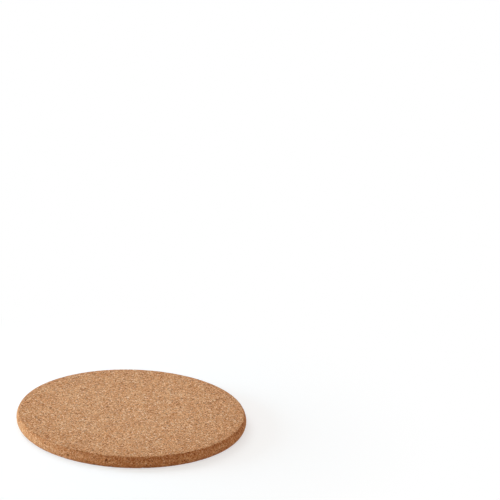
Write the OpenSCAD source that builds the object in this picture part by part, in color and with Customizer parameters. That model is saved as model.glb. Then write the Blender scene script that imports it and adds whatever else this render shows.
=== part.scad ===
// Round trivet of agglomerated cork: one solid disc, sawn from a pressed block and sanded,
// whose side bellies out between the eased corners of two flat faces.
// Millimetres, +Z up, origin at the centre of the underside.

/* [Disc] */
// Diameter at the waist, the widest level of the side
disc_d = 190; // [140:1:260]
// Thickness, from the underside to the top face
disc_t = 10; // [8:0.5:16]

/* [Bellied side] */
// Height of the waist above the underside
waist_z = 4.6; // [3:0.1:6]
// How far the corner of the top face is drawn in from the waist, before it is eased
crown_inset = 1.9; // [0.5:0.1:2.5]
// How far the corner of the underside is drawn in from the waist, before it is eased
foot_inset = 2.1; // [0.5:0.1:2.5]

/* [Sanded corners] */
// Radius that eases the corner round the top face
crown_ease = 0.7; // [0.2:0.1:1.2]
// Radius that eases the corner round the underside
foot_ease = 0.8; // [0.2:0.1:1.2]

/* [Hidden] */
$fn = 180;
cork_tan = "#c3966f";

waist_r = disc_d / 2;

// An easing arc stands proud of the surfaces that it blends by this, and so crosses both.
blend_lap = 0.002;

// Radius of the arc that sets off upright from the waist and is drawn in by inset after rise.
function side_radius(rise, inset) = (rise * rise + inset * inset) / (2 * inset);

// Centre of the arc that eases the corner. It touches the flat face at y = rise, and the
// side's arc from within, whose own centre is side_r inside the waist.
function ease_centre(rise, side_r, ease) =
    [sqrt(pow(side_r - ease, 2) - pow(rise - ease, 2)) - side_r, rise - ease];

// The point where both arcs touch is on the line through their centres.
function touch_point(centre, side_r, ease) =
    [(centre.x + side_r) * side_r / (side_r - ease) - side_r, centre.y * side_r / (side_r - ease)];

// Half of the disc's section, between the waist at y = 0 and a flat face at y = rise. Its
// x runs outward from the waist, so that all of it is at x < 0.
module half_section(rise, inset, ease) {
    side_r = side_radius(rise, inset);
    centre = ease_centre(rise, side_r, ease);
    touch = touch_point(centre, side_r, ease);
    intersection() {
        union() {
            polygon([[-waist_r, 0], [0, 0], touch, centre, [centre.x, rise], [-waist_r, rise]]);
            intersection() {
                translate([-side_r, 0]) circle(r = side_r);
                translate([-side_r, 0]) square([side_r, touch.y]);
            }
            translate(centre) circle(r = ease + blend_lap);
        }
        translate([-waist_r, 0]) square([disc_d, rise]);
    }
}

module disc_section() {
    translate([waist_r, waist_z]) half_section(disc_t - waist_z, crown_inset, crown_ease);
    translate([waist_r, waist_z]) mirror([0, 1]) half_section(waist_z, foot_inset, foot_ease);
}

module cork_disc() {
    color(cork_tan) rotate_extrude() disc_section();
}

cork_disc();
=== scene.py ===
"""Looks of a round trivet of agglomerated cork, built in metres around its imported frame.

The disc is one closed mesh: its section is revolved, meshed finely, and then roughened with
granule relief and with the pits that sanding tears out of a face. Its finish is a solid
texture of pressed granules, so that faces and side show the same block cut open.
"""
import logging
import math
from dataclasses import dataclass, field
from enum import Enum
from typing import ClassVar, Self

import bpy
import numpy as np
from mathutils import Matrix, Vector
from mathutils.kdtree import KDTree


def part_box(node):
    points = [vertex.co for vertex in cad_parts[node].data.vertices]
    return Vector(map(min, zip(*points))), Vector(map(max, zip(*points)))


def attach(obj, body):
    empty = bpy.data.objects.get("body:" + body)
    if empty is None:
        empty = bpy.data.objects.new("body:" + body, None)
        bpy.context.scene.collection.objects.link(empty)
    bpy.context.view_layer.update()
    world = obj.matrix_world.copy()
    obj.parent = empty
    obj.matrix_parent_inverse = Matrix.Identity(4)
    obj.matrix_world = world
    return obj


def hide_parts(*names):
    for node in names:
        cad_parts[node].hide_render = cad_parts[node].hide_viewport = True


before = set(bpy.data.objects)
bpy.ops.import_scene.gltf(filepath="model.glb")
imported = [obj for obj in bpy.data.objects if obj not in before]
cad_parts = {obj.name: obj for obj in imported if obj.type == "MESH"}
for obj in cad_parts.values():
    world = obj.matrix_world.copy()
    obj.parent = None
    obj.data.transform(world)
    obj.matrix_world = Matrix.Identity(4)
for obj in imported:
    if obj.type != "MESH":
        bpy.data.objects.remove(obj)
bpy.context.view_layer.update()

MM = 0.001
FULL_TURN = 2 * math.pi
Colour = tuple[float, float, float, float]
WHITE: Colour = (1.0, 1.0, 1.0, 1.0)

log = logging.getLogger("trivet")


def linear(red: float, green: float, blue: float) -> Colour:
    """Turns a display colour into the linear one that a shader takes.

    Args:
        red: Its red, 0 to 255.
        green: Its green.
        blue: Its blue.

    Returns:
        The linear colour.
    """
    whole, offset, power = 255, 0.055, 2.4
    shares = [((level / whole + offset) / (1 + offset)) ** power for level in (red, green, blue)]
    return (shares[0], shares[1], shares[2], 1.0)


class Blend(Enum):
    """How a Mix node lays one colour over another."""

    COVER = "MIX"
    STAIN = "MULTIPLY"


class Wire:
    """A socket whose sums read as expressions: each operator adds a node that works it out."""

    node_kind: ClassVar[str]

    def __init__(self, graph: "Graph", socket: bpy.types.NodeSocket) -> None:
        """Wraps socket, an output in graph."""
        self.graph = graph
        self.socket = socket

    def _with(self, operation: str, first: "Operand", second: "Operand" = 0.0) -> Self:
        """What a node of this wire's kind makes of first and second."""
        node = self.graph.node(self.node_kind, {"operation": operation}, {0: first, 1: second})
        return type(self)(self.graph, node.outputs[0])

    def __add__(self, other: "Operand") -> Self:
        """self + other."""
        return self._with("ADD", self, other)

    def __radd__(self, other: "Operand") -> Self:
        """other + self."""
        return self._with("ADD", other, self)

    def __sub__(self, other: "Operand") -> Self:
        """self - other."""
        return self._with("SUBTRACT", self, other)

    def __rsub__(self, other: "Operand") -> Self:
        """other - self."""
        return self._with("SUBTRACT", other, self)

    def __mul__(self, other: "Operand") -> Self:
        """self * other."""
        return self._with("MULTIPLY", self, other)

    def __rmul__(self, other: "Operand") -> Self:
        """other * self."""
        return self._with("MULTIPLY", other, self)


Operand = Wire | float | tuple[float, ...]


class Signal(Wire):
    """A wire that carries a number, whose sums go through Math."""

    node_kind = "ShaderNodeMath"

    def __lt__(self, other: Operand) -> Self:
        """1 where self is less than other, else 0."""
        return self._with("LESS_THAN", self, other)

    def __gt__(self, other: Operand) -> Self:
        """1 where self is greater than other, else 0. Python also calls it for other < self."""
        return self._with("GREATER_THAN", self, other)

    def least(self, other: Operand) -> Self:
        """The smaller of self and other."""
        return self._with("MINIMUM", self, other)

    def most(self, other: Operand) -> Self:
        """The larger of self and other."""
        return self._with("MAXIMUM", self, other)

    def fraction(self) -> Self:
        """What is left of self without its whole part."""
        return self._with("FRACT", self)

    def ease(self, low: float, high: float) -> "Signal":
        """A smooth step of self.

        Args:
            low: Where the result leaves 0.
            high: Where it reaches 1.

        Returns:
            0 below low, 1 above high and a smooth rise between them.
        """
        node = self.graph.node(
            "ShaderNodeMapRange",
            {"interpolation_type": "SMOOTHSTEP"},
            {"Value": self, "From Min": low, "From Max": high},
        )
        return self.graph.signal(node, "Result")


class Spread(Wire):
    """A wire that carries a colour or a vector, whose sums go through Vector Math."""

    node_kind = "ShaderNodeVectorMath"

    def part(self, index: int) -> Signal:
        """One of the three numbers, by its index."""
        return self.graph.signal(self.graph.node("ShaderNodeSeparateXYZ", {}, {0: self}), index)

    def under(self, other: Operand, factor: Operand, blend: Blend = Blend.COVER) -> "Spread":
        """This colour with another laid over it: factor says how much of the other shows."""
        return self.graph.blended(self, other, factor, blend)


class Graph:
    """The nodes of one material or world."""

    def __init__(self, tree: bpy.types.NodeTree) -> None:
        """Takes over tree and empties it."""
        self.tree = tree
        tree.nodes.clear()

    def node(
        self, kind: str, settings: dict[str, object], values: dict[int | str, object]
    ) -> bpy.types.Node:
        """Adds any node.

        Args:
            kind: The node's type.
            settings: Its properties, set first. "stops" holds a ramp's positions and colours.
            values: What goes into its sockets, by index, name or identifier: a link or a value.
                A plain number fills all the parts of a vector.

        Returns:
            The new node.
        """
        made = self.tree.nodes.new(kind)
        for name, value in settings.items():
            if name == "stops":
                self._set_stops(made.color_ramp, value)
            else:
                setattr(made, name, value)
        for key, value in values.items():
            socket = self._socket(made, key)
            if isinstance(value, Wire):
                self.tree.links.new(value.socket, socket)
            elif isinstance(value, bpy.types.NodeSocket):
                self.tree.links.new(value, socket)
            elif socket.type == "VECTOR" and isinstance(value, (int, float)):
                socket.default_value = (value,) * 3
            else:
                socket.default_value = value
        return made

    @staticmethod
    def _socket(node: bpy.types.Node, key: int | str) -> bpy.types.NodeSocket:
        """Finds an input.

        Args:
            node: The node.
            key: The input's index, identifier or name.

        Returns:
            The input's socket.
        """
        if isinstance(key, int):
            return node.inputs[key]
        matching = [socket for socket in node.inputs if socket.identifier == key]
        return matching[0] if matching else node.inputs[key]

    @staticmethod
    def _set_stops(ramp: bpy.types.ColorRamp, stops: tuple[tuple[float, Colour], ...]) -> None:
        """Gives a ramp its stops.

        Args:
            ramp: The ramp of a new node, which has two stops.
            stops: Each stop's position and colour, from low to high.
        """
        while len(ramp.elements) < len(stops):
            ramp.elements.new(1.0)
        for element, (position, colour) in zip(ramp.elements, stops):
            element.position = position
            element.color = colour

    def signal(self, node: bpy.types.Node, output: int | str) -> Signal:
        """One of a node's outputs as a number."""
        return Signal(self, node.outputs[output])

    def spread(self, node: bpy.types.Node, output: int | str) -> Spread:
        """One of a node's outputs as a colour or vector."""
        return Spread(self, node.outputs[output])

    def blended(self, lower: Operand, upper: Operand, factor: Operand, blend: Blend) -> Spread:
        """Lays one colour over another.

        Args:
            lower: The colour below.
            upper: The colour that is laid over it.
            factor: How much of the upper one shows, 0 to 1.
            blend: How it is laid.

        Returns:
            The mixed colour.
        """
        settings = {"data_type": "RGBA", "blend_type": blend.value}
        values = {"Factor_Float": factor, "A_Color": lower, "B_Color": upper}
        colour_output = 2
        return self.spread(self.node("ShaderNodeMix", settings, values), colour_output)


def placed(name: str, data: bpy.types.ID) -> bpy.types.Object:
    """Adds an object to the scene.

    Args:
        name: Its name.
        data: Its mesh, lamp or camera.

    Returns:
        The new object.
    """
    made = bpy.data.objects.new(name, data)
    bpy.context.scene.collection.objects.link(made)
    return made


def coated(piece: bpy.types.Object, name: str) -> Graph:
    """Puts a new material on a piece.

    Args:
        piece: The piece.
        name: The material's name.

    Returns:
        The material's graph, still empty.
    """
    material = bpy.data.materials.new(name)
    material.use_nodes = True
    piece.data.materials.append(material)
    return Graph(material.node_tree)


class Trace(Enum):
    """What the mesh tells the finish about each of its points."""

    TORN = "torn"
    OUTER_FACE = "handled"
    CROWN_BAND = "rubbed"
    SIDE = "side"


@dataclass(frozen=True)
class GranuleLayer:
    """One size of granule in the pressed block."""

    pitch: float
    seam: float

    def cells(self, graph: Graph, point: Spread) -> tuple[Spread, Signal]:
        """Fills space with granules.

        Args:
            graph: The material's graph.
            point: The place, in metres.

        Returns:
            Three random numbers that each granule keeps, and the distance to the granule's
            edge in widths of its seam.
        """
        nearest = {"voronoi_dimensions": "3D", "feature": "F1"}
        values = {"Vector": point, "Scale": 1 / self.pitch, "Randomness": 1.0}
        granule = graph.node("ShaderNodeTexVoronoi", nearest, values)
        edge = graph.node("ShaderNodeTexVoronoi", nearest | {"feature": "DISTANCE_TO_EDGE"}, values)
        away = graph.signal(edge, "Distance") * (self.pitch / self.seam)
        return graph.spread(granule, "Color"), away


@dataclass(frozen=True)
class Mottle:
    """Soft noise of one size."""

    pitch: float
    detail: float

    def at(self, graph: Graph, point: Spread) -> Spread:
        """Three unlike noises at point, each about 0 to 1."""
        values = {"Vector": point, "Scale": 1 / self.pitch, "Detail": self.detail}
        return graph.spread(graph.node("ShaderNodeTexNoise", {}, values), "Color")


@dataclass(frozen=True)
class Grain:
    """What the shader knows about the cork at a place. All of it runs from about 0 to 1."""

    tone: Signal
    redness: Signal
    lift: Signal
    seam: Signal
    bark: Signal
    fibre: Signal
    pale_patch: Signal
    red_patch: Signal


@dataclass(frozen=True)
class CorkFinish:
    """Agglomerated cork, sanded and left bare: granules of two sizes, seams and flecks of bark.

    A shade multiplies the colour under it. Pitches, reaches, lifts and depths are in metres.
    """

    coarse: GranuleLayer = GranuleLayer(pitch=0.88 * MM, seam=0.06 * MM)
    fine: GranuleLayer = GranuleLayer(pitch=0.43 * MM, seam=0.035 * MM)
    flecks: GranuleLayer = GranuleLayer(pitch=1.6 * MM, seam=0.12 * MM)
    fine_share: float = 0.5
    fleck_share: float = 0.009
    reshuffle: float = 7.31
    warp: Mottle = Mottle(pitch=0.6 * MM, detail=2.0)
    warp_reach: float = 0.2 * MM
    fibre: Mottle = Mottle(pitch=0.22 * MM, detail=2.0)
    patch: Mottle = Mottle(pitch=26 * MM, detail=3.0)

    tones: tuple[tuple[float, Colour], ...] = (
        (0.00, linear(104, 58, 33)),
        (0.06, linear(144, 86, 51)),
        (0.18, linear(183, 121, 76)),
        (0.42, linear(210, 150, 101)),
        (0.68, linear(230, 176, 130)),
        (0.88, linear(246, 208, 171)),
        (1.00, linear(251, 232, 209)),
    )
    fibre_tone: float = 0.25
    patch_tone: float = 0.08
    middle_tone: float = 0.5
    side_calm_share: float = 0.18
    russet: Colour = (1.0, 0.88, 0.76, 1.0)
    granule_russet: float = 0.3
    patch_russet: float = 0.15
    russet_patches: tuple[float, float] = (0.42, 0.66)
    # Seams between granules are darker: partly the binder, partly painted shade in the sunken seams.
    seam_binder_and_painted_shade: Colour = (0.70, 0.63, 0.57, 1.0)
    bark_shade: Colour = (0.38, 0.29, 0.23, 1.0)
    # Pits are darker and redder: partly the darker cork inside them, partly painted shade in the hollows.
    pit_colour_and_painted_shade: Colour = (0.42, 0.32, 0.25, 1.0)
    # Both faces are darker and redder towards their rim, more so the farther from the axis.
    outer_face_shade: Colour = (0.89, 0.83, 0.77, 1.0)
    # The side is darker than the faces: partly the sawn side's own colour, partly painted shade.
    side_colour_and_painted_shade: Colour = (0.86, 0.845, 0.835, 1.0)
    # The band round the top corner and down the upper side is darker and redder: partly a worn, crumbly
    # arris, partly painted shade.
    worn_arris_and_painted_shade: Colour = (0.88, 0.76, 0.67, 1.0)

    granule_lift: float = 0.03 * MM
    seam_depth: float = 0.05 * MM
    fibre_depth: float = 0.012 * MM
    roughness: float = 0.86
    seam_roughness: float = 0.1
    fibre_roughness: float = 0.12
    specular_level: float = 0.2

    def dress(self, piece: bpy.types.Object) -> None:
        """Makes the cork and puts it on a piece.

        Args:
            piece: The piece, whose mesh has the traces.
        """
        graph = coated(piece, "agglomerated_cork")
        grain = self._grain(graph)
        lift = grain.lift * self.granule_lift
        height = lift - grain.seam * self.seam_depth + grain.fibre * self.fibre_depth
        bump = graph.node("ShaderNodeBump", {}, {"Strength": 1.0, "Distance": 1.0, "Height": height})
        uneven = grain.seam * self.seam_roughness + (grain.fibre - 0.5) * self.fibre_roughness
        shader = graph.node(
            "ShaderNodeBsdfPrincipled",
            {},
            {
                "Base Color": self._colour(graph, grain),
                "Roughness": self.roughness + uneven,
                "Specular IOR Level": self.specular_level,
                "Normal": bump.outputs["Normal"],
            },
        )
        graph.node("ShaderNodeOutputMaterial", {}, {"Surface": shader.outputs["BSDF"]})

    def _grain(self, graph: Graph) -> Grain:
        """Packs the block: granules whose outlines are warped, flecks, fibre and slow patches.

        Args:
            graph: The material's graph.

        Returns:
            The cork at the shaded place.
        """
        place = graph.spread(graph.node("ShaderNodeTexCoord", {}, {}), "Object")
        warped = place + (self.warp.at(graph, place) - 0.5) * (2 * self.warp_reach)
        draws, edge = self._granules(graph, warped)
        fleck_draws, fleck_edge = self.flecks.cells(graph, warped)
        patch = self.patch.at(graph, place)
        return Grain(
            tone=draws.part(0),
            redness=draws.part(1),
            lift=draws.part(2),
            seam=1 - edge.ease(0.0, 1.0),
            bark=(fleck_draws.part(0) < self.fleck_share) * fleck_edge.ease(0.0, 1.0),
            fibre=self.fibre.at(graph, place).part(0),
            pale_patch=patch.part(0),
            red_patch=patch.part(1),
        )

    def _granules(self, graph: Graph, point: Spread) -> tuple[Spread, Signal]:
        """Packs both sizes of granule together: a share of the coarse cells holds fine ones.

        Args:
            graph: The material's graph.
            point: The warped place.

        Returns:
            Three random numbers per granule, and the distance to its edge in seam widths.
        """
        coarse, coarse_edge = self.coarse.cells(graph, point)
        fine, fine_edge = self.fine.cells(graph, point)
        broken = (coarse * self.reshuffle).part(2).fraction() < self.fine_share
        edge = coarse_edge + (fine_edge.least(coarse_edge) - coarse_edge) * broken
        return coarse.under(fine, broken), edge

    def _colour(self, graph: Graph, grain: Grain) -> Spread:
        """Colours the cork.

        Args:
            graph: The material's graph.
            grain: The cork at the shaded place.

        Returns:
            The base colour.
        """
        fibre_shift = (grain.fibre - 0.5) * self.fibre_tone
        patch_shift = (grain.pale_patch - 0.5) * self.patch_tone
        torn, handled, rubbed, side = (self._trace(graph, trace) for trace in Trace)
        tone = grain.tone + fibre_shift + patch_shift
        calmed = tone + (self.middle_tone - tone) * (side * self.side_calm_share)
        bare = graph.node("ShaderNodeValToRGB", {"stops": self.tones}, {"Fac": calmed})
        red_patch = grain.red_patch.ease(*self.russet_patches) * self.patch_russet
        stains = (
            (self.russet, grain.redness * self.granule_russet + red_patch),
            # Darker seams: binder and painted shade.
            (self.seam_binder_and_painted_shade, grain.seam),
            (self.bark_shade, grain.bark),
            # Darker side: its own colour and painted shade.
            (self.side_colour_and_painted_shade, side),
            # Faces darker towards the rim.
            (self.outer_face_shade, handled),
            # Band round the top corner: wear and painted shade.
            (self.worn_arris_and_painted_shade, rubbed),
            # Darker pits: their own colour and painted shade in the hollows.
            (self.pit_colour_and_painted_shade, torn),
        )
        colour = graph.spread(bare, "Color")
        for shade, amount in stains:
            colour = colour.under(shade, amount, Blend.STAIN)
        return colour

    @staticmethod
    def _trace(graph: Graph, trace: Trace) -> Signal:
        """Reads a trace of the mesh."""
        return graph.signal(graph.node("ShaderNodeAttribute", {"attribute_name": trace.value}, {}), "Fac")


class Face(Enum):
    """A face of the disc, by the way it looks along the axis."""

    TOP = 1
    UNDERSIDE = -1


@dataclass(frozen=True)
class Arc:
    """A round stretch of the disc's section, walked clockwise."""

    centre: tuple[float, float]
    radius: float
    start: float
    stop: float

    @property
    def length(self) -> float:
        """Its length, in metres."""
        return self.radius * (self.start - self.stop)

    def at(self, run: np.ndarray) -> np.ndarray:
        """Places on the arc.

        Args:
            run: Distances walked from its start.

        Returns:
            A row for each of radius, height and the outward normal's two parts.
        """
        angle = self.start - run / self.radius
        out, up = np.cos(angle), np.sin(angle)
        return np.stack([self.centre[0] + self.radius * out, self.centre[1] + self.radius * up, out, up])


@dataclass(frozen=True)
class Flat:
    """A level stretch of the disc's section, which is half of a face."""

    start: float
    stop: float
    height: float
    face: Face

    @property
    def length(self) -> float:
        """Its length, in metres."""
        return abs(self.stop - self.start)

    def at(self, run: np.ndarray) -> np.ndarray:
        """Places on the face.

        Args:
            run: Distances walked from its start.

        Returns:
            A row for each of radius, height and the outward normal's two parts.
        """
        radius = self.start + run * math.copysign(1.0, self.stop - self.start)
        level = np.full_like(radius, self.height)
        return np.stack([radius, level, np.zeros_like(radius), np.full_like(radius, self.face.value)])


@dataclass(frozen=True)
class Corner:
    """The arcs between the waist and one face: the side's and the one that eases its corner."""

    waist: tuple[float, float]
    rise: float
    inset: float
    ease: float

    @property
    def side_radius(self) -> float:
        """Radius of the side's arc."""
        return (self.rise**2 + self.inset**2) / (2 * self.inset)

    @property
    def side_centre(self) -> float:
        """How far the side's centre is from the disc's axis."""
        return self.waist[0] - self.side_radius

    @property
    def face_radius(self) -> float:
        """Radius of the flat face, up to the easing arc."""
        reach = self.side_radius - self.ease
        return self.side_centre + math.sqrt(reach**2 - (self.rise - self.ease) ** 2)

    @property
    def turn(self) -> float:
        """Angle off the waist's level at which the two arcs touch."""
        return math.asin((self.rise - self.ease) / (self.side_radius - self.ease))

    def arcs(self, face: Face) -> tuple[Arc, Arc]:
        """The corner's arcs.

        Args:
            face: The face that the corner belongs to.

        Returns:
            The easing arc and the side's arc above the waist, or the side's arc and the easing
            arc below it, in the order in which they are walked.
        """
        level = self.waist[1] + face.value * (self.rise - self.ease)
        side_centre = (self.side_centre, self.waist[1])
        ease_centre = (self.face_radius, level)
        if face is Face.TOP:
            return (
                Arc(ease_centre, self.ease, math.pi / 2, self.turn),
                Arc(side_centre, self.side_radius, self.turn, 0.0),
            )
        return (
            Arc(side_centre, self.side_radius, 0.0, -self.turn),
            Arc(ease_centre, self.ease, -self.turn, -math.pi / 2),
        )


class Section:
    """Half of the disc's outline, walked from the top face's centre to the underside's.

    The walk passes top_rim, where the top face ends, and side_top, where the arc that eases its
    corner ends, then the waist, side_foot and foot_rim, which are their like below.
    """

    def __init__(self, crown: Corner, foot: Corner, thickness: float) -> None:
        """Strings the stretches together.

        Args:
            crown: The corner of the top face.
            foot: The corner of the underside.
            thickness: The disc's thickness.
        """
        self.stretches = (
            Flat(0.0, crown.face_radius, thickness, Face.TOP),
            *crown.arcs(Face.TOP),
            *foot.arcs(Face.UNDERSIDE),
            Flat(foot.face_radius, 0.0, 0.0, Face.UNDERSIDE),
        )
        self.ends = np.cumsum([0.0] + [stretch.length for stretch in self.stretches])
        self.top_rim, self.side_top = self.ends[1], self.ends[2]
        self.side_foot, self.foot_rim = self.ends[4], self.ends[5]
        self.length = self.ends[6]

    def at(self, run: np.ndarray) -> np.ndarray:
        """Places on the outline.

        Args:
            run: Distances walked from the top face's centre.

        Returns:
            A row for each of radius, height and the outward normal's two parts.
        """
        found = np.zeros((4, len(run)))
        which = np.clip(np.searchsorted(self.ends, run, side="right") - 1, 0, len(self.stretches) - 1)
        for index, stretch in enumerate(self.stretches):
            here = which == index
            found[:, here] = stretch.at(run[here] - self.ends[index])
        return found


# Where a triangle's row holds its corners and the middles of its sides.
A, B, C, AB, BC, CA = range(6)


class Cut(Enum):
    """How a triangle is cut, in triples of its corners A, B and C and its sides' middles."""

    WHOLE = ((A, B, C),)
    ACROSS_AB = ((A, AB, C), (AB, B, C))
    OFF_B_AND_FROM_A = ((AB, B, BC), (A, AB, BC), (A, BC, C))
    OFF_B_AND_FROM_C = ((AB, B, BC), (A, AB, C), (AB, BC, C))
    IN_FOUR = ((A, AB, CA), (AB, B, BC), (CA, BC, C), (AB, BC, CA))


@dataclass(frozen=True)
class Skin:
    """The disc's closed surface, in triangles that face outward.

    A vertex has its distance walked along the section and its angle round the axis.
    """

    runs: np.ndarray
    angles: np.ndarray
    faces: np.ndarray

    def edges(self) -> tuple[np.ndarray, np.ndarray]:
        """Lists the edges.

        Returns:
            Each edge's two vertices, and each face's edges AB, BC and CA.
        """
        ends = np.sort(np.stack([self.faces, np.roll(self.faces, -1, axis=1)]), axis=0)
        keys, sides = np.unique(ends[0] * len(self.runs) + ends[1], return_inverse=True)
        return np.stack(np.divmod(keys, len(self.runs)), axis=1), sides.reshape(self.faces.shape)

    def split(self, where: np.ndarray, points: np.ndarray) -> "Skin":
        """Splits edges at their middles.

        Args:
            where: Whether each edge is split.
            points: The vertices' places.

        Returns:
            The finer surface, whose new vertices come last.
        """
        edges, sides = self.edges()
        middles = points[edges[where]].mean(axis=1)
        added = np.full(len(edges), -1)
        added[where] = len(self.runs) + np.arange(len(middles))
        is_split = where[sides]
        count = is_split.sum(axis=1)
        # A face is turned until its only split side is AB, or its only whole side is CA.
        first = np.where(count == 1, is_split.argmax(axis=1), (is_split.argmin(axis=1) + 1) % 3)
        order = (first[:, None] + np.arange(3)) % 3
        corners_then_middles = np.concatenate(
            [np.take_along_axis(self.faces, order, 1), np.take_along_axis(added[sides], order, 1)], axis=1
        )
        places = np.concatenate([points, middles])[corners_then_middles]
        from_a = np.linalg.norm(places[:, A] - places[:, BC], axis=1)
        from_c = np.linalg.norm(places[:, C] - places[:, AB], axis=1)
        chosen = {
            Cut.WHOLE: count == 0,
            Cut.ACROSS_AB: count == 1,
            Cut.OFF_B_AND_FROM_A: (count == 2) & (from_a < from_c),
            Cut.OFF_B_AND_FROM_C: (count == 2) & (from_a >= from_c),
            Cut.IN_FOUR: count == 3,
        }
        faces = [corners_then_middles[here][:, cut.value].reshape(-1, 3) for cut, here in chosen.items()]
        return Skin(
            runs=np.concatenate([self.runs, self.runs[edges[where]].mean(axis=1)]),
            angles=np.concatenate([self.angles, np.arctan2(middles[:, 1], middles[:, 0])]),
            faces=np.concatenate(faces),
        )


@dataclass(frozen=True)
class Tearing:
    """Pits of one kind, where sanding or handling has pulled granules out. Most are small."""

    count: int
    radius: tuple[float, float]
    depth: tuple[float, float]
    smallness: float = 2.0

    def size(self, draw: float) -> tuple[float, float]:
        """A pit's radius and depth, from a random number."""
        share = draw**self.smallness
        return tuple(least + share * (most - least) for least, most in (self.radius, self.depth))


@dataclass(frozen=True)
class Pit:
    """One torn pit, with an uneven outline."""

    centre: np.ndarray
    radius: float
    depth: float


def searchable(points: np.ndarray) -> KDTree:
    """Sorts points so that those near a place are found quickly.

    Args:
        points: The points.

    Returns:
        A search tree that knows each point by its index.
    """
    tree = KDTree(len(points))
    for index, point in enumerate(points):
        tree.insert(point, index)
    tree.balance()
    return tree


def within(tree: KDTree, centre: np.ndarray, reach: float) -> np.ndarray:
    """Indices of the tree's points that lie within reach of centre."""
    return np.array([index for _place, index, _away in tree.find_range(centre, reach)], int)


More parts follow.
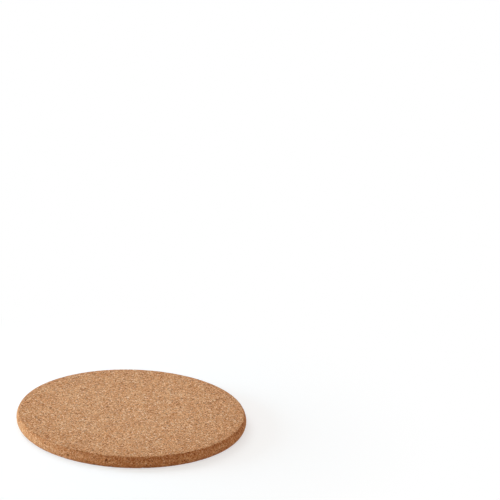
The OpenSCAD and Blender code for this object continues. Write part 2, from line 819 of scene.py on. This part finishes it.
@dataclass
class CorkDisc:
    """The trivet: one solid disc of pressed cork granules.

    The section's sizes come first, then those of the mesh, its relief, its pits and the map that
    it is baked to, which is 1 across. Lengths are in metres. A share is a part of the size that
    it goes with.
    """

    radius: float
    thickness: float
    waist_height: float = 4.6 * MM
    crown_inset: float = 1.9 * MM
    foot_inset: float = 2.1 * MM
    crown_ease: float = 0.7 * MM
    foot_ease: float = 0.8 * MM

    face_pitch: float = 1.2 * MM
    side_pitch: float = 0.6 * MM
    underside_pitch: float = 2.0 * MM
    grade: float = 5.0 * MM
    row_share: float = 0.87
    jitter_share: float = 0.12
    walk_steps: int = 400
    least_spokes: int = 6

    relief_pitch: float = 1.5 * MM
    relief_depth: float = 0.08 * MM
    relief_level_share: float = 0.6
    relief_seam_share: float = 0.6
    relief_seam_width_share: float = 0.35
    side_blend: float = 1.0 * MM
    sway_pitch: float = 14 * MM
    sway_depth: float = 0.04 * MM
    sway_waves: int = 12
    sway_shares: tuple[float, float] = (0.6, 1.8)
    outer_face_power: float = 4.0
    # Where the darker band of wear and painted shade round the top corner starts, is full and stops, from
    # the end of the corner's easing arc.
    crown_band_span: tuple[float, ...] = (-0.9 * MM, -0.2 * MM, 1.2 * MM, 4.8 * MM)

    top_tearing: Tearing = Tearing(300, (0.35 * MM, 0.9 * MM), (0.10 * MM, 0.30 * MM))
    crown_tearing: Tearing = Tearing(90, (0.35 * MM, 0.9 * MM), (0.06 * MM, 0.20 * MM))
    side_tearing: Tearing = Tearing(170, (0.35 * MM, 0.9 * MM), (0.10 * MM, 0.35 * MM))
    foot_tearing: Tearing = Tearing(90, (0.4 * MM, 1.2 * MM), (0.10 * MM, 0.35 * MM))
    underside_tearing: Tearing = Tearing(200, (0.5 * MM, 1.1 * MM), (0.12 * MM, 0.30 * MM))
    corner_reach: float = 0.5 * MM
    side_reach: float = 4.4 * MM
    pit_rim_share: float = 0.45
    pit_reach_share: float = 1.5
    pit_lobes: tuple[tuple[int, float], ...] = ((2, 0.22), (3, 0.14), (5, 0.08))
    longest_edge: float = 0.46 * MM
    refined_margin_share: float = 0.6
    refinements: int = 3

    top_map_radius: float = 0.365
    underside_map_radius: float = 0.205
    map_margin: float = 0.005

    seed: int = 20
    finish: CorkFinish = field(default_factory=CorkFinish)
    dice: np.random.Generator = field(init=False)
    section: Section = field(init=False)

    def __post_init__(self) -> None:
        """Draws the section and takes up the dice."""
        self.dice = np.random.default_rng(self.seed)
        waist = (self.radius, self.waist_height)
        crown = Corner(waist, self.thickness - self.waist_height, self.crown_inset, self.crown_ease)
        foot = Corner(waist, self.waist_height, self.foot_inset, self.foot_ease)
        self.section = Section(crown, foot, self.thickness)

    def build(self) -> bpy.types.Object:
        """Makes the disc in place of its frame node.

        Returns:
            The dressed piece, riding on the part's one body.
        """
        skin = self._revolved()
        pits = self._pits()
        skin = self._refined(skin, pits)
        points, traces = self._roughened(skin, pits)
        mesh = bpy.data.meshes.new("sanded_cork_disc")
        mesh.from_pydata(points, [], skin.faces.tolist())
        mesh.shade_smooth()
        for trace, values in traces.items():
            mesh.attributes.new(trace.value, "FLOAT", "POINT").data.foreach_set("value", values)
        mesh.uv_layers.new(name="OFBake").uv.foreach_set("vector", self._unrolled(skin).ravel())
        piece = placed("sanded_cork_disc", mesh)
        self.finish.dress(piece)
        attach(piece, "root")
        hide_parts("cork_disc")
        return piece

    def _pitch(self, run: np.ndarray | float) -> np.ndarray | float:
        """Size of the mesh's triangles, which is finest on the side.

        Args:
            run: Distances along the section.

        Returns:
            The length of an edge at each.
        """
        first, last = self.section.top_rim, self.section.foot_rim
        sizes = [self.face_pitch, self.side_pitch, self.side_pitch, self.underside_pitch]
        return np.interp(run, [first - self.grade, first, last, last + self.grade], sizes)

    def _stations(self) -> np.ndarray:
        """Sets out the mesh's rings of vertices.

        Returns:
            Each ring's distance along the section.
        """
        found = []
        for start, stop in zip(self.section.ends[:-1], self.section.ends[1:]):
            walk = np.linspace(start, stop, self.walk_steps)
            rows = np.diff(walk) / (self.row_share * self._pitch(walk[1:]))
            rings = np.concatenate([[0.0], np.cumsum(rows)])
            count = max(2, round(rings[-1]))
            found.append(np.interp(np.linspace(0, rings[-1], count + 1)[:-1], rings, walk))
        return np.concatenate(found)[1:]

    def _revolved(self) -> Skin:
        """Revolves the section into a closed surface of nearly even triangles.

        Returns:
            The surface.
        """
        runs, angles, rings = [0.0], [0.0], [[0]]
        for run in self._stations():
            radius = self.section.at(np.array([run]))[0][0]
            count = max(self.least_spokes, round(FULL_TURN * radius / self._pitch(run)))
            jitter = self.dice.uniform(-self.jitter_share, self.jitter_share, count)
            turned = (np.arange(count) + self.dice.random() + jitter) * (FULL_TURN / count)
            rings.append(list(range(len(runs), len(runs) + count)))
            runs.extend([run] * count)
            angles.extend(turned)
        rings.append([len(runs)])
        runs.append(self.section.length)
        angles.append(0.0)
        faces = []
        for inner, outer in zip(rings[:-1], rings[1:]):
            faces.extend(self._zipped(inner, outer, angles))
        return Skin(np.array(runs), np.array(angles), np.array(faces))

    @staticmethod
    def _zipped(inner: list[int], outer: list[int], angles: list[float]) -> list[tuple[int, int, int]]:
        """Joins two neighbouring rings with triangles.

        Args:
            inner: Vertices of the ring that is walked first. A centre is a ring of one.
            outer: Vertices of the next ring.
            angles: Each vertex's angle round the axis.

        Returns:
            The triangles, which all face outward.
        """
        if len(inner) == 1:
            return [(inner[0], outer[place - 1], outer[place]) for place in range(len(outer))]
        if len(outer) == 1:
            return [(outer[0], inner[place], inner[place - 1]) for place in range(len(inner))]
        first = angles[inner[0]]
        leads = [(angles[vertex] - first + math.pi) % FULL_TURN - math.pi for vertex in outer]
        nearest = min(range(len(outer)), key=lambda place: abs(leads[place]))
        outer = outer[nearest:] + outer[:nearest]
        # Each ring closes at its first vertex, a full turn on, and has no vertex after that.
        turns = [(angles[vertex] - angles[outer[0]]) % FULL_TURN for vertex in outer]
        outer_turn = [leads[nearest] + turn for turn in turns + [FULL_TURN, math.inf]]
        inner_turn = [(angles[vertex] - first) % FULL_TURN for vertex in inner] + [FULL_TURN, math.inf]
        inner, outer = inner + inner[:1], outer + outer[:1]
        faces = []
        walked_in = walked_out = 0
        while walked_in + walked_out < len(inner) + len(outer) - 2:
            side = (inner[walked_in], outer[walked_out])
            if inner_turn[walked_in + 1] <= outer_turn[walked_out + 1]:
                walked_in += 1
                faces.append((*side, inner[walked_in]))
            else:
                walked_out += 1
                faces.append((*side, outer[walked_out]))
        return faces

    def _points(self, runs: np.ndarray, angles: np.ndarray) -> tuple[np.ndarray, np.ndarray]:
        """Places on the smooth disc.

        Args:
            runs: Distances along the section.
            angles: Angles round the axis.

        Returns:
            The points and the outward normals.
        """
        radius, height, out, up = self.section.at(runs)
        east, north = np.cos(angles), np.sin(angles)
        points = np.stack([radius * east, radius * north, height], axis=1)
        return points, np.stack([out * east, out * north, up], axis=1)

    def _pits(self) -> list[Pit]:
        """Scatters the torn pits, evenly over each face and each band of the side.

        Returns:
            The pits.
        """
        section = self.section
        crown = (section.top_rim + section.side_top) / 2
        foot = (section.side_foot + section.foot_rim) / 2
        side = (crown + foot) / 2
        # A draw to this power lies evenly over a face, from its centre out, or over a band.
        from_centre, across = 0.5, 1.0
        bands = (
            (self.top_tearing, 0.0, section.top_rim, from_centre),
            (self.crown_tearing, crown - self.corner_reach, crown + self.corner_reach, across),
            (self.side_tearing, side - self.side_reach, side + self.side_reach, across),
            (self.foot_tearing, foot - self.corner_reach, foot + self.corner_reach, across),
            (self.underside_tearing, section.length, section.foot_rim, from_centre),
        )
        pits = []
        for tearing, start, stop, power in bands:
            for _ in range(tearing.count):
                run = start + (stop - start) * self.dice.random() ** power
                angle = self.dice.uniform(0, FULL_TURN)
                centre = self._points(np.array([run]), np.array([angle]))[0][0]
                pits.append(Pit(centre, *tearing.size(self.dice.random())))
        return pits

    def _refined(self, skin: Skin, pits: list[Pit]) -> Skin:
        """Splits the triangles round each pit until they can hold its shape.

        Args:
            skin: The revolved surface.
            pits: The pits.

        Returns:
            The finer surface.
        """
        for _ in range(self.refinements):
            points = self._points(skin.runs, skin.angles)[0]
            ends = points[skin.edges()[0]]
            lengths = np.linalg.norm(ends[:, 0] - ends[:, 1], axis=1)
            middles = ends.mean(axis=1)
            margins = self.refined_margin_share * lengths
            tree = searchable(middles)
            long_edges = np.zeros(len(lengths), bool)
            for pit in pits:
                near = within(tree, pit.centre, pit.radius + margins.max())
                away = np.linalg.norm(middles[near] - pit.centre, axis=1)
                reached = near[away < pit.radius + margins[near]]
                long_edges[reached] = lengths[reached] > self.longest_edge
            skin = skin.split(long_edges, points)
        return skin

    def _roughened(self, skin: Skin, pits: list[Pit]) -> tuple[np.ndarray, dict[Trace, np.ndarray]]:
        """Sinks the surface where it is torn or uneven.

        Args:
            skin: The refined surface.
            pits: The pits.

        Returns:
            The vertices' places, and the traces that the finish reads.
        """
        points, normals = self._points(skin.runs, skin.angles)
        first, last = self.section.top_rim, self.section.foot_rim
        side_stops = [first - self.side_blend, first, last, last + self.side_blend]
        on_side = np.interp(skin.runs, side_stops, [0, 1, 1, 0])
        sunk = self.sway_depth * self._sway(points)
        sunk += on_side * self.relief_depth * self._relief(points)
        torn, pit_depth = self._torn(points, normals, pits)
        points -= normals * (sunk + pit_depth)[:, None]
        from_axis = np.hypot(points[:, 0], points[:, 1]) / self.radius
        return points, {
            Trace.TORN: torn,
            # Grows with a power of the distance from the axis on both faces, and is 0 on the side.
            Trace.OUTER_FACE: from_axis**self.outer_face_power * (1 - on_side),
            Trace.CROWN_BAND: np.interp(skin.runs - self.section.side_top, self.crown_band_span, [0, 1, 1, 0]),
            Trace.SIDE: on_side,
        }

    def _sway(self, points: np.ndarray) -> np.ndarray:
        """The slow unevenness that a sanding belt leaves.

        Args:
            points: Points on the smooth disc.

        Returns:
            The share of the sway's depth at each point, 0 to 1.
        """
        total = np.zeros(len(points))
        for _ in range(self.sway_waves):
            way = self.dice.normal(size=3)
            pitch = self.sway_pitch * self.dice.uniform(*self.sway_shares)
            way *= FULL_TURN / (pitch * np.linalg.norm(way))
            total += np.sin(points @ way + self.dice.uniform(0, FULL_TURN))
        return np.clip(0.5 + total / self.sway_waves, 0, 1)

    def _relief(self, points: np.ndarray) -> np.ndarray:
        """Relief of the granules: each lies a little deeper or less deep, and its seams sink.

        Args:
            points: Points on the smooth disc.

        Returns:
            The share of the relief's depth at each point, 0 to 1.
        """
        cell = np.floor(points / self.relief_pitch).astype(int)
        low = cell.min(0) - 1
        span = cell.max(0) + 2 - low
        centres = self.dice.random((*span, 3))
        levels = self.dice.random(span)
        nearest = np.full(len(points), np.inf)
        second = np.full(len(points), np.inf)
        level = np.zeros(len(points))
        for shift in np.ndindex(3, 3, 3):
            where = cell + np.array(shift) - 1
            x, y, z = (where - low).T
            away = np.linalg.norm((where + centres[x, y, z]) - points / self.relief_pitch, axis=1)
            closer = away < nearest
            second = np.where(closer, nearest, np.minimum(second, away))
            level = np.where(closer, levels[x, y, z], level)
            nearest = np.where(closer, away, nearest)
        seam = 1 - np.clip((second - nearest) / self.relief_seam_width_share, 0, 1)
        return np.clip(self.relief_level_share * level + self.relief_seam_share * seam, 0, 1)

    def _torn(
        self, points: np.ndarray, normals: np.ndarray, pits: list[Pit]
    ) -> tuple[np.ndarray, np.ndarray]:
        """Works out where the pits tear the surface, and how deep.

        Args:
            points: Points on the smooth disc.
            normals: Their normals.
            pits: The pits.

        Returns:
            How torn each point is, 0 to 1, and how deep it has sunk.
        """
        tree = searchable(points)
        torn = np.zeros(len(points))
        sunk = np.zeros(len(points))
        for pit in pits:
            waves = self.dice.uniform(0, FULL_TURN, len(self.pit_lobes))
            near = within(tree, pit.centre, pit.radius * self.pit_reach_share)
            if not len(near):
                continue
            offset = points[near] - pit.centre
            bearing = self._bearing(offset, normals[near[np.argmin((offset**2).sum(1))]])
            outline = np.ones(len(near))
            for (lobes, size), wave in zip(self.pit_lobes, waves):
                outline += size * np.sin(lobes * bearing + wave)
            share = np.linalg.norm(offset, axis=1) / (pit.radius * outline)
            inside = 1 - np.clip((share - self.pit_rim_share) / (1 - self.pit_rim_share), 0, 1)
            inside = inside * inside * (3 - 2 * inside)
            torn[near] = np.maximum(torn[near], inside)
            sunk[near] = np.maximum(sunk[near], inside * pit.depth)
        return torn, sunk

    @staticmethod
    def _bearing(offset: np.ndarray, normal: np.ndarray) -> np.ndarray:
        """Bearings round a pit.

        Args:
            offset: Points as seen from the pit's centre.
            normal: The surface's normal there.

        Returns:
            Each point's angle round the normal.
        """
        any_way = (0.36, 0.48, 0.8)
        east = np.cross(normal, any_way)
        east /= np.linalg.norm(east)
        return np.arctan2(offset @ np.cross(normal, east), offset @ east)

    def _unrolled(self, skin: Skin) -> np.ndarray:
        """Lays the surface out flat for baking: the top with the side round it, and the underside.

        Args:
            skin: The refined surface.

        Returns:
            The place in the map of each corner of each face.
        """
        run, angle = skin.runs[skin.faces], skin.angles[skin.faces]
        rim, length = self.section.foot_rim, self.section.length
        below = run.mean(axis=1, keepdims=True) > rim
        from_below = (length - run) * self.underside_map_radius / (length - rim)
        distance = np.where(below, from_below, run * self.top_map_radius / rim)
        top_centre = self.map_margin + self.top_map_radius
        below_centre = 1 - self.map_margin - self.underside_map_radius
        centre = np.where(below, below_centre, top_centre)
        return np.stack([centre + distance * np.cos(angle), centre + distance * np.sin(angle)], axis=-1)


def split_rays(graph: Graph, output: str, lighting: bpy.types.Node, shown: bpy.types.Node) -> None:
    """Ends a graph in two shaders: one for rays that light the studio and one for the rest.

    Args:
        graph: A material's or the world's graph.
        output: The type of its output node.
        lighting: The shader for rays that light the studio.
        shown: The shader for rays that come from the camera, a mirror or glass.
    """
    path = graph.node("ShaderNodeLightPath", {}, {})
    names = ("Is Camera Ray", "Is Glossy Ray", "Is Transmission Ray")
    camera, glossy, through = (graph.signal(path, name) for name in names)
    shaders = {0: camera.most(glossy).most(through), 1: lighting.outputs[0], 2: shown.outputs[0]}
    both = graph.node("ShaderNodeMixShader", {}, shaders)
    graph.node(output, {}, {"Surface": both.outputs[0]})


@dataclass(frozen=True)
class PaleFinish:
    """White with a soft shadow where it is seen, and tan to other rays.

    The shadow fades out between two distances from the middle, which are in metres.
    """

    glow: float = 0.55
    seen: Colour = (0.48, 0.49, 0.52, 1.0)
    bounce: Colour = (0.82, 0.57, 0.38, 1.0)
    fade_start: float = 0.11
    fade_stop: float = 0.26

    def dress(self, piece: bpy.types.Object) -> None:
        """Makes the finish and puts it on a piece.

        Args:
            piece: The piece.
        """
        graph = coated(piece, "pale_floor")
        glow = graph.node("ShaderNodeEmission", {}, {"Color": WHITE, "Strength": self.glow})
        matt = graph.node("ShaderNodeBsdfDiffuse", {}, {"Color": self.seen})
        near = graph.node("ShaderNodeAddShader", {}, {0: glow.outputs[0], 1: matt.outputs[0]})
        far = graph.node("ShaderNodeEmission", {}, {"Color": WHITE, "Strength": 1.0})
        place = graph.node("ShaderNodeTexCoord", {}, {}).outputs["Object"]
        away = graph.node("ShaderNodeVectorMath", {"operation": "LENGTH"}, {0: place})
        faded = graph.signal(away, "Value").ease(self.fade_start, self.fade_stop)
        shown = graph.node("ShaderNodeMixShader", {}, {0: faded, 1: near.outputs[0], 2: far.outputs[0]})
        tan = graph.node("ShaderNodeBsdfDiffuse", {}, {"Color": self.bounce})
        split_rays(graph, "ShaderNodeOutputMaterial", lighting=tan, shown=shown)


@dataclass(frozen=True)
class Floor:
    """The plain pale surface that the trivet lies on."""

    half_width: float = 12.0
    gap: float = 0.02 * MM
    finish: PaleFinish = PaleFinish()

    def build(self) -> bpy.types.Object:
        """Makes the floor.

        Returns:
            The floor.
        """
        signs = ((-1, -1), (1, -1), (1, 1), (-1, 1))
        ends = [(x * self.half_width, y * self.half_width, -self.gap) for x, y in signs]
        mesh = bpy.data.meshes.new("floor")
        mesh.from_pydata(ends, [], [(0, 1, 2, 3)])
        floor = placed("floor", mesh)
        self.finish.dress(floor)
        return floor


@dataclass(frozen=True)
class Lamp:
    """One round softbox that faces the trivet. Angles are in degrees, and sizes in metres."""

    name: str
    azimuth: float
    elevation: float
    distance: float
    width: float
    strength: float
    colour: tuple[float, float, float] = (1.0, 1.0, 1.0)

    def build(self) -> bpy.types.Object:
        """Hangs the lamp at its azimuth, counted from +X, and its elevation.

        Returns:
            The lamp. At a strength of 1 a surface that faces it renders in its own colour.
        """
        light = bpy.data.lights.new(self.name, "AREA")
        light.shape = "DISK"
        light.size = self.width
        light.energy = self.strength * (math.pi * self.distance) ** 2
        light.color = self.colour
        lamp = placed(self.name, light)
        azimuth, elevation = math.radians(self.azimuth), math.radians(self.elevation)
        level = math.cos(elevation)
        towards = Vector((math.cos(azimuth) * level, math.sin(azimuth) * level, math.sin(elevation)))
        lamp.rotation_mode = "QUATERNION"
        lamp.rotation_quaternion = towards.to_track_quat("Z", "Y")
        lamp.location = towards * self.distance
        return lamp


@dataclass(frozen=True)
class Studio:
    """Soft studio light and a white surround."""

    lamps: tuple[Lamp, ...] = (
        Lamp("key_lamp", 180, 9, distance=1.0, width=0.56, strength=0.88, colour=(0.90, 1.08, 1.16)),
        Lamp("window_lamp", 162, 8, distance=1.0, width=0.56, strength=0.44, colour=(0.38, 1.05, 1.35)),
        Lamp("back_lamp", 120, 42, distance=2.4, width=1.35, strength=0.32),
        Lamp("right_lamp", 0, 45, distance=1.6, width=0.9, strength=0.09),
    )
    overhead: Colour = (0.525, 0.492, 0.428, 1.0)
    horizon: Colour = (0.50, 0.40, 0.30, 1.0)
    overhead_from: float = 0.5

    def build(self) -> None:
        """Hangs the lamps and sets the world."""
        for lamp in self.lamps:
            hung = lamp.build()
            log.info("%s, %.1f m away", hung.name, hung.location.length)
        scene = bpy.context.scene
        scene.world = bpy.data.worlds.new("studio")
        scene.world.use_nodes = True
        graph = Graph(scene.world.node_tree)
        way = graph.spread(graph.node("ShaderNodeTexCoord", {}, {}), "Generated")
        height = way.part(2).ease(0.0, self.overhead_from)
        shade = graph.blended(self.horizon, self.overhead, height, Blend.COVER)
        ambient = graph.node("ShaderNodeBackground", {}, {"Color": shade})
        white = graph.node("ShaderNodeBackground", {}, {"Color": WHITE})
        split_rays(graph, "ShaderNodeOutputWorld", lighting=ambient, shown=white)
        scene.view_settings.view_transform = "Standard"


@dataclass(frozen=True)
class Viewpoint:
    """The camera, placed so that the trivet lies in the frame as in the photograph.

    Angles are in degrees, the sensor is measured in millimetres and the rest in metres or pixels.
    """

    distance: float = 1.9
    elevation: float = 22.98
    roll: float = -1.57
    focal_pixels: float = 2285.0
    frame_pixels: float = 500.0
    base_pixel: tuple[float, float] = (131.55, 422.16)
    sensor_width: float = 36.0

    def build(self) -> bpy.types.Object:
        """Makes the scene's camera.

        The camera faces the centre of the disc's base, rolls, and then turns by the shortest way
        that carries the base to its pixel.

        Returns:
            The camera.
        """
        data = bpy.data.cameras.new("camera")
        data.sensor_width = self.sensor_width
        data.lens = self.focal_pixels / self.frame_pixels * self.sensor_width
        camera = placed("camera", data)
        bpy.context.scene.camera = camera

        elevation = math.radians(self.elevation)
        back = Vector((0.0, -math.cos(elevation), math.sin(elevation)))
        right = Vector((1.0, 0.0, 0.0))
        facing = Matrix((right, back.cross(right), -back))
        centre = self.frame_pixels / 2
        aim = Vector((self.base_pixel[0] - centre, centre - self.base_pixel[1], self.focal_pixels))
        turn = Vector((0.0, 0.0, 1.0)).rotation_difference(aim).to_matrix()
        flip = Matrix.Diagonal((1.0, 1.0, -1.0))
        seen = flip @ turn @ Matrix.Rotation(math.radians(self.roll), 3, "Z") @ facing
        camera.rotation_mode = "QUATERNION"
        camera.rotation_quaternion = seen.transposed().to_quaternion()
        camera.location = back * self.distance
        return camera


def main() -> None:
    """Builds the scene, in order, and reports each piece."""
    logging.basicConfig(level=logging.INFO, format="%(name)s: %(message)s")
    camera = Viewpoint().build()
    log.info("camera with a lens of %.1f mm", camera.data.lens)
    low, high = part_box("cork_disc")
    disc = CorkDisc(radius=min(high.x, high.y, -low.x, -low.y), thickness=high.z - low.z).build()
    log.info("%s: %d vertices, %d faces", disc.name, len(disc.data.vertices), len(disc.data.polygons))
    floor = Floor().build()
    log.info("%s of %.0f m", floor.name, floor.dimensions.x)
    Studio().build()


if __name__ == "__main__":
    main()
